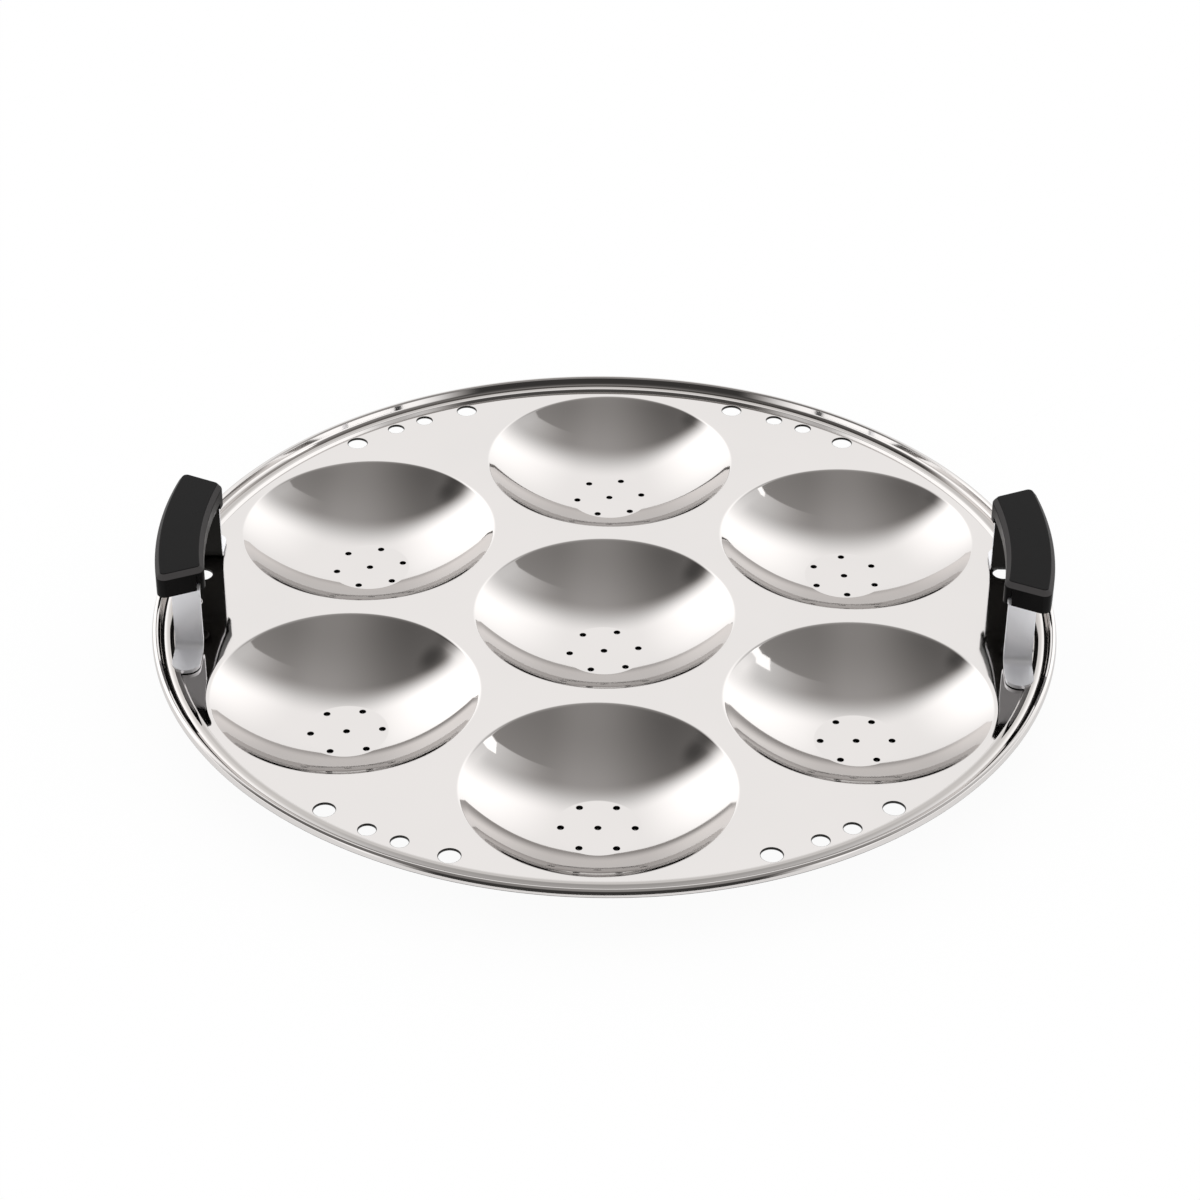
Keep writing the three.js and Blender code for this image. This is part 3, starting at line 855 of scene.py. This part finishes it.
@dataclass(frozen=True)
class HandleBracket:
    """A bridge under the grip with two bent legs, blanked from one strip of steel."""

    layout: HandleLayout = field(default_factory=HandleLayout)
    inner_setback: float = 0.6
    bridge_corner: float = 0.5
    neck_drop: float = 0.6  # between the bridge's outer corner and the notch beside a leg
    neck_corner: float = 0.35
    foot_reach: float = 37.7
    foot_flat: float = 0.02  # left at each side of a foot's end between its rounded corners
    foot_steps: int = 14
    top_bend: float = 2.4
    foot_bend: float = 3.6
    bend_steps: int = 12
    arc_steps: int = 16
    hole: float = 1.8
    hole_steps: int = 28
    edge: float = 0.2
    edge_steps: int = 2
    crease: float = 50.0  # edges that turn by more degrees than this are rounded
    shade_lean: float = -0.25  # painted shade covers faces that point further down or inwards than this

    def outline(self) -> list[Corner]:
        """Plan of the flat bridge with the root of each leg, for the handle at +X."""
        lay = self.layout
        inner = lay.grip_inner + self.inner_setback
        outer = lay.grip_outer - lay.grip_wall - lay.gap
        half = math.degrees(math.asin(lay.bridge_half / ((inner + outer) / 2)))
        root = lay.leg_middle - self.top_bend
        low, high = lay.strap_centre - lay.strap_width / 2, lay.strap_centre + lay.strap_width / 2
        first, *outside, last = arc((0.0, 0.0), outer, -half, half, self.arc_steps)
        inside = arc((0.0, 0.0), inner, half, -half, self.arc_steps)[1:-1]
        neck = last[1] - self.neck_drop
        return [
            Corner(*first, self.bridge_corner), *(Corner(*at) for at in outside),
            Corner(*last, self.bridge_corner), Corner(high, neck, self.neck_corner),
            Corner(high, root), Corner(low, root), *(Corner(*at) for at in inside),
            Corner(low, -root), Corner(high, -root), Corner(high, -neck, self.neck_corner)]

    def leg(self, work: Workpiece, face: Any, side: int) -> None:
        """Bends a leg and its foot from the end face of the bridge.

        Args:
            work: The mesh.
            face: End face at the leg's root.
            side: 1 for the leg towards +Y, -1 for the other.
        """
        lay = self.layout
        middle_top = lay.bridge_top - lay.strap / 2
        middle_foot = lay.land_top + lay.gap + lay.strap / 2
        root = side * (lay.leg_middle - self.top_bend)
        face = work.bend(face, (0.0, root, middle_top - self.top_bend), -90 * side, self.bend_steps)
        drop = middle_top - middle_foot - self.top_bend - self.foot_bend
        face = work.raise_faces([face], (0.0, 0.0, -drop))[0]
        knee = side * (lay.leg_middle + self.foot_bend)
        centre = (0.0, knee, middle_foot + self.foot_bend)
        face = work.bend(face, centre, 90 * side, self.bend_steps)
        face = work.raise_faces([face], (0.0, side * self.foot_reach - knee, 0.0))[0]
        ends = [e for e in face.edges if abs(e.verts[0].co.z - e.verts[1].co.z) > lay.strap / 2]
        work.round_edges(ends, lay.strap_width / 2 - self.foot_flat, self.foot_steps)

    def build(
        self, side: Side, finish: bpy.types.Material, strip_shade: bpy.types.Material,
    ) -> bpy.types.Object:
        """Models one bracket and dresses it.

        Args:
            side: Side of the plate.
            finish: Material of the steel.
            strip_shade: Painted shade on the strip's lower side and the legs' inner sides, which
                the plate mirrors as black.

        Returns:
            The piece.
        """
        lay = self.layout
        work = Workpiece()
        flat = [(x, y, lay.bridge_under) for x, y in rounded(self.outline(), closed=True)]
        edges = work.wire(flat, closed=True)
        for x, y in lay.screw_places():
            ring = bmesh.ops.create_circle(
                work.bm, cap_ends=False, radius=self.hole, segments=self.hole_steps,
                matrix=Matrix.Translation((x, y, lay.bridge_under)))
            edges += list(dict.fromkeys(e for v in ring["verts"] for e in v.link_edges))
        sheet = work.close_flat(edges)
        work.raise_faces(sheet, (0.0, 0.0, lay.strap))
        bmesh.ops.recalc_face_normals(work.bm, faces=work.bm.faces)
        root = lay.leg_middle - self.top_bend
        for leg_side in (1, -1):
            at = Vector((lay.strap_centre, leg_side * root, lay.bridge_top - lay.strap / 2))
            end = min(work.bm.faces, key=lambda f: (f.calc_center_median() - at).length)
            self.leg(work, end, leg_side)
        bmesh.ops.remove_doubles(work.bm, verts=work.bm.verts, dist=SAME_PLACE)
        bmesh.ops.recalc_face_normals(work.bm, faces=work.bm.faces)
        work.round_edges(work.sharp_edges(self.crease), self.edge, self.edge_steps)
        work.bm.normal_update()
        # faces that point down, and the legs' inward faces, take the painted shade
        for face in work.bm.faces:
            middle = face.calc_center_median()
            inward = face.normal.y * math.copysign(1.0, middle.y) < self.shade_lean
            on_leg = abs(middle.y) > lay.bridge_half
            face.material_index = int(face.normal.z < self.shade_lean or inward and on_leg)
        name = f"{side.label}_handle_bracket_strip"
        piece = work.finish(name, [finish, strip_shade], side.turn)
        even_normals(piece, keep_sharp=False)
        return piece


@dataclass(frozen=True)
class HandleGrip:
    """A curved chamfered bar that caps the bridge, hollow underneath and open towards the cups."""

    layout: HandleLayout = field(default_factory=HandleLayout)
    body: float = 5.5
    skirt: float = 2.3
    chamfer_width: float = 1.35
    chamfer_height: float = 1.8
    top_outer: float = 57.0
    top_inner: float = 46.7
    corner: float = 2.6
    corner_room: float = 0.8  # of the long arcs that stays free beside each corner
    corner_step: float = 12.0
    arc_steps: int = 22
    edge: float = 0.22
    lower_edge: float = 0.9
    lower_reach: float = 4.0  # the lower edge is round outside this far within the bar's middle
    edge_steps: int = 3
    same_height: float = 0.01
    least_fold: float = 0.2  # faces that turn by fewer radians make no edge
    pocket_start: float = 12.0  # where a leg's pocket begins, from the bar's middle
    slot_width: float = 1.0
    slot_height: float = 5.3
    insert_bore: float = 2.8
    insert_depth: float = 4.1
    bore_steps: int = 28
    overrun: float = 1.0
    crease: float = 40.0  # edges that turn by more degrees than this are shaded sharp
    painted_bands: tuple[PaintedBand, ...] = (  # painted highlight: the chamfer is tinted lighter, and it is also rougher
        PaintedBand(Along.HEIGHT, (44.3, 45.85), "#434141", 0.5),)

    @property
    def top(self) -> float:
        """Height of the flat top."""
        return self.layout.grip_seat + self.body

    @property
    def bottom(self) -> float:
        """Height of the lower edge."""
        return self.layout.grip_seat - self.skirt

    def end_corners(self) -> tuple[Vector, Vector]:
        """Outer and inner plan corner of the end towards +Y, outside the chamfer."""
        lay = self.layout
        outer_top = lay.grip_outer - self.chamfer_width
        inner_top = lay.grip_inner + self.chamfer_width
        outer = Vector((math.sqrt(outer_top**2 - (self.top_outer / 2) ** 2), self.top_outer / 2))
        inner = Vector((math.sqrt(inner_top**2 - (self.top_inner / 2) ** 2), self.top_inner / 2))
        along = (outer - inner).normalized()
        start = inner + Vector((-along.y, along.x)) * self.chamfer_width
        reach = start.dot(along)
        off = start.length_squared
        found = [
            start + along * (math.sqrt(reach**2 - off + radius**2) - reach)
            for radius in (lay.grip_outer, lay.grip_inner)]
        return found[0], found[1]

    def plan(self) -> list[Point]:
        """Outline of the bar: two arcs about the plate's axis and two slanted ends."""
        outer, inner = self.end_corners()
        lay = self.layout
        spare = math.degrees((self.corner + self.corner_room) / lay.grip_inner)
        out_half, in_half = (
            math.degrees(math.atan2(end.y, end.x)) - spare for end in (outer, inner))
        outside = arc((0.0, 0.0), lay.grip_outer, -out_half, out_half, self.arc_steps)
        inside = arc((0.0, 0.0), lay.grip_inner, in_half, -in_half, self.arc_steps)
        corners = [
            *(Corner(*at) for at in outside), Corner(*outer, self.corner),
            Corner(*inner, self.corner), *(Corner(*at) for at in inside),
            Corner(inner.x, -inner.y, self.corner), Corner(outer.x, -outer.y, self.corner)]
        return rounded(corners, closed=True, step=self.corner_step)

    def bar(self, name: str) -> bpy.types.Object:
        """The bar before its underside is hollowed."""
        work = Workpiece()
        work.wire([(x, y, self.bottom) for x, y in self.plan()], closed=True)
        base = bmesh.ops.contextual_create(work.bm, geom=list(work.bm.edges))["faces"]
        bmesh.ops.recalc_face_normals(work.bm, faces=base)
        cap = work.raise_faces(base, (0.0, 0.0, self.top - self.chamfer_height - self.bottom))
        bmesh.ops.recalc_face_normals(work.bm, faces=work.bm.faces)
        bmesh.ops.inset_region(
            work.bm, faces=cap, thickness=self.chamfer_width, depth=self.chamfer_height,
            use_even_offset=True, use_boundary=True)
        chamfer = (self.top, self.top - self.chamfer_height)
        ring = [edge for height in chamfer for edge in self.edges_at(work, height)]
        work.round_edges(ring, self.edge, self.edge_steps)
        reach = (self.layout.grip_outer + self.layout.grip_inner) / 2 - self.lower_reach
        outside = [
            e for e in self.edges_at(work, self.bottom)
            if max(math.hypot(v.co.x, v.co.y) for v in e.verts) > reach]
        work.round_edges(outside, self.lower_edge, self.edge_steps)
        return work.finish(name)

    def edges_at(self, work: Workpiece, height: float) -> list[Any]:
        """Edges that lie level at a height."""
        return [
            e for e in work.bm.edges
            if all(abs(v.co.z - height) < self.same_height for v in e.verts)
            and e.calc_face_angle(0.0) > self.least_fold]

    def cutters(self) -> list[bpy.types.Object]:
        """Solids that hollow the underside: channel, leg pockets, end slots and insert bores."""
        lay = self.layout
        low, seat = self.bottom - self.overrun, lay.grip_seat
        channel = Workpiece()
        inner, outer = lay.grip_inner - self.overrun, lay.grip_outer - lay.grip_wall
        half = math.degrees(math.asin((lay.bridge_half + lay.gap) / ((inner + outer) / 2)))
        ring = arc((0.0, 0.0), outer, -half, half, self.arc_steps)
        ring += arc((0.0, 0.0), inner, half, -half, self.arc_steps)
        channel.wire([(x, y, low) for x, y in ring], closed=True)
        base = bmesh.ops.contextual_create(channel.bm, geom=list(channel.bm.edges))["faces"]
        channel.raise_faces(base, (0.0, 0.0, seat - low))
        made = [channel.finish("cut_channel")]
        strap_half = lay.strap_width / 2 + lay.gap
        west, east = lay.strap_centre - strap_half, lay.strap_centre + strap_half
        leg_end = lay.leg_middle + lay.strap / 2 + lay.gap
        end = self.top_outer / 2 + self.overrun
        for side in (-1, 1):
            for name, wide, ends, high in (
                    ("cut_pocket", east, (self.pocket_start, leg_end), seat),
                    ("cut_slot", west + self.slot_width, (lay.leg_middle, end),
                     self.bottom + self.slot_height)):
                cut = Workpiece()
                south, north = sorted(side * y for y in ends)
                cut.block((west, south, low), (wide, north, high))
                made.append(cut.finish(name))
        for x, y in lay.screw_places():
            bore = Workpiece()
            bmesh.ops.create_cone(
                bore.bm, cap_ends=True, segments=self.bore_steps, radius1=self.insert_bore,
                radius2=self.insert_bore, depth=self.insert_depth + self.overrun,
                matrix=Matrix.Translation((x, y, seat + (self.insert_depth - self.overrun) / 2)))
            made.append(bore.finish("cut_bore"))
        return made

    def build(self, side: Side, finish: bpy.types.Material) -> bpy.types.Object:
        """Models one grip and dresses it.

        Args:
            side: Side of the plate.
            finish: Material of the moulding.

        Returns:
            The piece.
        """
        piece = self.bar(f"{side.label}_handle_grip_moulding")
        carve(piece, self.cutters(), side.turn, finish, self.crease)
        even_normals(piece, keep_sharp=True)
        return piece


@dataclass(frozen=True)
class CrossHeadScrew:
    """A pan head screw with a cross recess, driven up through the bridge."""

    layout: HandleLayout = field(default_factory=HandleLayout)
    shank: float = 1.5
    head: float = 2.8
    head_height: float = 1.8
    head_round: float = 0.7
    seat_round: float = 0.12
    reach: float = 5.2
    recess_length: float = 3.0
    recess_width: float = 0.8
    recess_depth: float = 1.0
    taper: float = 0.6
    tip: float = 0.35
    steps: int = 48
    round_step: float = 15.0
    overrun: float = 1.0
    crease: float = 35.0  # edges that turn by more degrees than this are shaded sharp

    @property
    def seat(self) -> float:
        """Height of the head's upper side, under the bridge."""
        return self.layout.bridge_under - self.layout.gap

    @property
    def face(self) -> float:
        """Height of the head's face, which looks down."""
        return self.seat - self.head_height

    def profile(self) -> list[Point]:
        """Section from the middle of the head's face to the tip."""
        end = self.layout.bridge_under + self.reach
        corners = [
            Corner(0.0, self.face), Corner(self.head, self.face, self.head_round),
            Corner(self.head, self.seat, self.seat_round), Corner(self.shank, self.seat),
            Corner(self.shank, end - self.tip), Corner(self.shank - self.tip, end),
            Corner(0.0, end)]
        return rounded(corners, step=self.round_step)

    def build(
        self, at: Point, name: str, side: Side, finish: bpy.types.Material,
    ) -> bpy.types.Object:
        """Models one screw and dresses it.

        Args:
            at: Plan position in the handle at +X.
            name: Name of the piece.
            side: Side of the plate.
            finish: Material of the screw.

        Returns:
            The piece.
        """
        work = Workpiece()
        work.turn(self.profile(), self.steps)
        piece = work.finish(name)
        recess = []
        half = (self.recess_length / 2, self.recess_width / 2)
        for long, short in (half, half[::-1]):
            blade = Workpiece()
            verts = blade.block(
                (-long, -short, self.face - self.overrun),
                (long, short, self.face + self.recess_depth))
            tips = [v for v in verts if v.co.z > self.face]
            bmesh.ops.scale(blade.bm, vec=(self.taper, self.taper, 1.0), verts=tips)
            recess.append(blade.finish("cut_recess"))
        place = side.turn @ Matrix.Translation((at[0] * MM, at[1] * MM, 0.0))
        carve(piece, recess, place, finish, self.crease)
        return piece


# Stage


class Step(Enum):
    """A step of the room's pattern: node, settings, its inputs in order and its result."""

    FADE = ("ShaderNodeMapRange", {"interpolation_type": "SMOOTHSTEP"},
            ("Value", "From Min", "From Max", "To Min", "To Max"), "Result")
    BLEND = ("ShaderNodeMix", {"data_type": "FLOAT"}, (SHARE, FIRST, SECOND), 0)
    TIMES = ("ShaderNodeMath", {"operation": "MULTIPLY"}, (0, 1), 0)
    OVER = ("ShaderNodeMath", {"operation": "DIVIDE"}, (0, 1), 0)
    SIZE = ("ShaderNodeMath", {"operation": "ABSOLUTE"}, (0,), 0)
    APART = ("ShaderNodeVectorMath", {"operation": "DISTANCE"}, (0, 1), "Value")


# What the steel shows in each direction. A row names a result, its step and what goes into it.
# x, y and z are the direction's own shares, and a word stands for an earlier result.
ROOM: tuple[tuple[Any, ...], ...] = (
    ("aside", Step.SIZE, "x"),
    # Ceiling: brightest overhead, darker to the left, the right and the front.
    ("share", Step.FADE, "x", -0.655, 0.065),
    ("ceiling", Step.BLEND, "share", 0.124, 0.294),
    ("share", Step.FADE, "x", 0.141, 0.489),
    ("ceiling", Step.BLEND, "share", "ceiling", 0.235),
    ("share", Step.FADE, "y", -0.4, 0.4, 0.72, 1.0),
    ("ceiling", Step.TIMES, "ceiling", "share"),
    # Right of the ceiling a paler wall with a crisp lower edge.
    ("right", Step.FADE, "x", 0.293, 1.15),
    ("edge", Step.FADE, "y", 0.1, 0.115),
    ("share", Step.TIMES, "right", "edge"),
    ("ceiling", Step.BLEND, "share", "ceiling", 0.783),
    # White screen behind, stronger at its two sides.
    ("share", Step.FADE, "x", -0.66, -0.22),
    ("screen", Step.BLEND, "share", 1.12, 0.81),
    ("share", Step.FADE, "x", 0.205, 0.7),
    ("screen", Step.BLEND, "share", "screen", 1.1),
    # Where the ceiling gives way to the screen, which is further back at the right.
    ("left", Step.FADE, "x", -1.07, 0.07),
    ("right", Step.FADE, "x", 0.303, 0.906),
    ("start", Step.BLEND, "left", 0.188, 0.22),
    ("start", Step.BLEND, "right", "start", 0.342),
    ("end", Step.BLEND, "left", 0.392, 0.622),
    ("end", Step.BLEND, "right", "end", 0.714),
    ("share", Step.FADE, "y", "start", "end"),
    ("level", Step.BLEND, "share", "ceiling", "screen"),
    # Front: a dim room low down between two white sides.
    ("share", Step.FADE, "z", 0.16, 0.55),
    ("front", Step.BLEND, "share", 0.035, 0.06),
    ("share", Step.FADE, "z", 0.68, 0.85),
    ("front", Step.BLEND, "share", "front", "ceiling"),
    ("outer", Step.FADE, "aside", 0.55, 0.8),
    ("lower", Step.FADE, "z", 0.75, 0.5),
    ("share", Step.TIMES, "outer", "lower"),
    ("front", Step.BLEND, "share", "front", 0.92),
    ("share", Step.FADE, "y", -0.3, -0.62),
    ("level", Step.BLEND, "share", "level", "front"),
    # A white wall low down at either side.
    ("outer", Step.FADE, "aside", 0.74, 0.9),
    ("lower", Step.FADE, "z", 0.62, 0.42),
    ("share", Step.TIMES, "outer", "lower"),
    ("level", Step.BLEND, "share", "level", 1.0),
    # A black lamp housing up at the left.
    ("away", Step.APART, "ahead", "housing"),
    ("share", Step.FADE, "away", 0.02, 0.17),
    ("level", Step.BLEND, "share", 0.055, "level"),
    # These are the levels that the steel shows, so the room is brighter by its reflectance.
    ("level", Step.OVER, "level", "reflectance"),
    ("paleness", Step.FADE, "level", 0.1, 0.9),
)


@dataclass(frozen=True)
class Studio:
    """A white room: pale floor, even soft light and a grey ceiling that the steel mirrors."""

    camera_at: tuple[float, float, float] = (11.82, -827.59, 589.58)
    camera_to: tuple[float, float, float] = (-1.513, 6.408, 15.735)
    camera_roll: float = 0.521
    camera_reach: float = 100.0  # in metres
    lens: float = 96.883
    sensor: float = 36.0
    floor_half: float = 6000.0
    floor_drop: float = 0.05
    floor_white: float = 0.93  # share of the floor's own white where a camera or a mirror sees it
    contact: float = 1.2  # a piece darkens the floor when it is closer than this
    contact_samples: int = 8
    shade: Span = (0.68, 1.0)  # openness of the floor where it is black and white
    dome: float = 1300.0
    dome_detail: int = 5
    dome_start: float = 0.5  # height of its lower edge
    dome_tints: tuple[str, str] = ("#FFFBF8", "#FFFFFF")  # where it is dark and bright
    reflectance: float = 0.67  # of the polished steel
    window_at: tuple[float, float, float] = (566.0, 100.0, 418.0)
    window_half: tuple[float, float] = (42.0, 46.0)
    window_light: float = 1.6
    housing: tuple[float, float, float] = (-0.735, 0.12, 0.668)  # direction of a lamp housing

    def camera(self) -> None:
        """Stands the camera where the photograph was taken."""
        scene = bpy.context.scene
        data = bpy.data.cameras.new("camera")
        data.lens = self.lens
        data.sensor_width = self.sensor
        data.clip_end = self.camera_reach
        eye, aim = Vector(self.camera_at) * MM, Vector(self.camera_to) * MM
        ahead = (aim - eye).normalized()
        level = ahead.cross(Vector(UPWARDS)).normalized()
        roll = math.radians(self.camera_roll)
        upright = level.cross(ahead)
        right = level * math.cos(roll) + upright * math.sin(roll)
        up = upright * math.cos(roll) - level * math.sin(roll)
        camera = bpy.data.objects.new("camera", data)
        turn = Matrix((right, up, -ahead)).transposed().to_4x4()
        camera.matrix_world = Matrix.Translation(eye) @ turn
        scene.collection.objects.link(camera)
        scene.camera = camera

    def world(self) -> None:
        """Lights everything evenly with plain white."""
        world = bpy.data.worlds.new("white room")
        bpy.context.scene.world = world
        world.use_nodes = True
        tree = world.node_tree
        tree.nodes.clear()
        back = add_node(tree, "ShaderNodeBackground", inputs={"Color": FULL_LIGHT, "Strength": 1.0})
        add_node(tree, "ShaderNodeOutputWorld", inputs={"Surface": back.outputs[0]})

    def floor(self) -> None:
        """Lays a white floor that keeps a faint shadow under the plate, with a painted contact
        shadow.
        """
        material, tree = blank_material("white_floor")
        path = add_node(tree, "ShaderNodeLightPath").outputs
        seen = path["Is Camera Ray"]
        for ray in ("Is Glossy Ray", "Is Transmission Ray"):
            seen = add_node(tree, "ShaderNodeMath", {"operation": "MAXIMUM"}, {
                0: seen, 1: path[ray]}).outputs[0]
        # ambient occlusion paints a contact shadow, black where a piece nearly touches, into the
        # floor's colour and white share
        clear = add_node(tree, "ShaderNodeAmbientOcclusion", {"samples": self.contact_samples}, {
            "Distance": self.contact * MM})
        shade = add_node(tree, "ShaderNodeMapRange", {"interpolation_type": "SMOOTHSTEP"}, {
            "Value": clear.outputs["AO"], "From Min": self.shade[0],
            "From Max": self.shade[1]}).outputs["Result"]
        share = seen
        for factor in (shade, self.floor_white):
            share = add_node(tree, "ShaderNodeMath", {"operation": "MULTIPLY"}, {
                0: share, 1: factor}).outputs[0]
        paint = add_node(tree, "ShaderNodeBsdfDiffuse", inputs={"Color": shade})
        white = add_node(tree, "ShaderNodeEmission", inputs={"Color": FULL_LIGHT, "Strength": 1.0})
        both = add_node(tree, "ShaderNodeMixShader", inputs={
            0: share, 1: paint.outputs[0], 2: white.outputs[0]})
        add_node(tree, "ShaderNodeOutputMaterial", inputs={"Surface": both.outputs[0]})
        work = Workpiece()
        bmesh.ops.create_grid(
            work.bm, x_segments=1, y_segments=1, size=self.floor_half,
            matrix=Matrix.Translation((0.0, 0.0, -self.floor_drop)))
        work.finish("floor", [material])

    def hang(self, work: Workpiece, name: str, material: bpy.types.Material) -> None:
        """Makes a stage object that only reflections see, so that it neither lights nor shades."""
        piece = work.finish(name, [material])
        for ray in ("camera", "diffuse", "shadow", "transmission", "volume_scatter"):
            setattr(piece, f"visible_{ray}", False)
        material.cycles.emission_sampling = "NONE"

    def surroundings(self) -> None:
        """Hangs the room that the steel mirrors: white behind and beside, grey above."""
        material, tree = blank_material("room_as_mirrored")
        place = add_node(tree, "ShaderNodeTexCoord").outputs["Object"]
        ahead = add_node(
            tree, "ShaderNodeVectorMath", {"operation": "NORMALIZE"}, {0: place}).outputs[0]
        axes = add_node(tree, "ShaderNodeSeparateXYZ", inputs={0: ahead}).outputs
        found: dict[str, Any] = {
            "x": axes["X"], "y": axes["Y"], "z": axes["Z"], "ahead": ahead,
            "housing": self.housing, "reflectance": self.reflectance}
        for name, step, *given in ROOM:
            kind, settings, keys, result = step.value
            values = [found[item] if isinstance(item, str) else item for item in given]
            found[name] = add_node(tree, kind, settings, dict(zip(keys, values))).outputs[result]
        dark, bright = self.dome_tints
        tint = add_node(tree, "ShaderNodeMix", {"data_type": "RGBA"}, {
            SHARE: found["paleness"], FIRST_TINT: colour(dark),
            SECOND_TINT: colour(bright)}).outputs[MIXED_TINT]
        light = add_node(
            tree, "ShaderNodeEmission", inputs={"Color": tint, "Strength": found["level"]})
        add_node(tree, "ShaderNodeOutputMaterial", inputs={"Surface": light.outputs[0]})
        work = Workpiece()
        bmesh.ops.create_icosphere(work.bm, subdivisions=self.dome_detail, radius=self.dome)
        bmesh.ops.bisect_plane(
            work.bm, geom=[*work.bm.verts, *work.bm.edges, *work.bm.faces],
            plane_co=(0.0, 0.0, self.dome_start), plane_no=UPWARDS, clear_inner=True)
        self.hang(work, "room", material)

    def window(self) -> None:
        """Adds the small bright window that two of the cups mirror."""
        material, tree = blank_material("bright_window")
        light = add_node(tree, "ShaderNodeEmission", inputs={
            "Color": FULL_LIGHT, "Strength": self.window_light})
        add_node(tree, "ShaderNodeOutputMaterial", inputs={"Surface": light.outputs[0]})
        work = Workpiece()
        at = Vector(self.window_at)
        face = at.to_track_quat("Z", "Y").to_matrix().to_4x4()
        size = Matrix.Diagonal((*self.window_half, 1.0, 1.0))
        bmesh.ops.create_grid(
            work.bm, x_segments=1, y_segments=1, size=1.0,
            matrix=Matrix.Translation(at) @ face @ size)
        self.hang(work, "window", material)

    def build(self) -> None:
        """Sets the whole stage."""
        bpy.context.scene.view_settings.view_transform = "Standard"
        self.camera()
        self.world()
        self.floor()
        self.surroundings()
        self.window()


# Assembly


def add(piece: bpy.types.Object, slot: str, *nodes: str) -> None:
    """Sets a piece in the model.

    Args:
        piece: The finished piece.
        slot: Material slot of the record. It is not used.
        nodes: Solids that it stands for.
    """
    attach(piece, "root")
    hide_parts(*nodes)
    faces = len(piece.data.polygons)
    LOG.info("%s: %d faces, stands for %s", piece.name, faces, ", ".join(nodes))


def dress(node: str, finish: bpy.types.Material) -> None:
    """Gives a solid of the model its material."""
    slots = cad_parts[node].data.materials
    slots.clear()
    slots.append(finish)
    LOG.info("%s: kept, with %s", node, finish.name)


def main() -> None:
    """Builds the stage and the sub-assemblies in order."""
    logging.basicConfig(level=logging.INFO, format="%(name)s: %(message)s")
    Studio().build()
    layout = HandleLayout()
    plate, bracket = IdliPlate(), HandleBracket(layout)
    grip, screw = HandleGrip(layout), CrossHeadScrew(layout)
    sheet_steel = BuffedSteel(painted_bands=plate.painted_bands).make()
    strip_steel = BuffedStrip().make()
    sheared_shaded = ShearedSteel().make()
    phenolic = MouldedPhenolic(painted_bands=grip.painted_bands).make()
    strip_shade = StripShade().make()
    black_zinc = BlackZinc().make()
    brass = TurnedBrass().make()
    add(plate.build(sheet_steel, sheared_shaded), "polished_steel", "idli_plate")
    for side in Side:
        label = side.label
        strip = bracket.build(side, strip_steel, strip_shade)
        add(strip, "polished_steel", f"{label}_handle_bracket")
        add(grip.build(side, phenolic), "satin_phenolic", f"{label}_handle_grip")
        for number, at in enumerate(layout.screw_places(), start=1):
            piece = screw.build(at, f"{label}_cross_head_screw_{number}", side, black_zinc)
            add(piece, "plated_steel", f"{label}_handle_screw_{number}")
            dress(f"{label}_grip_insert_{number}", brass)


if __name__ == "__main__":
    main()
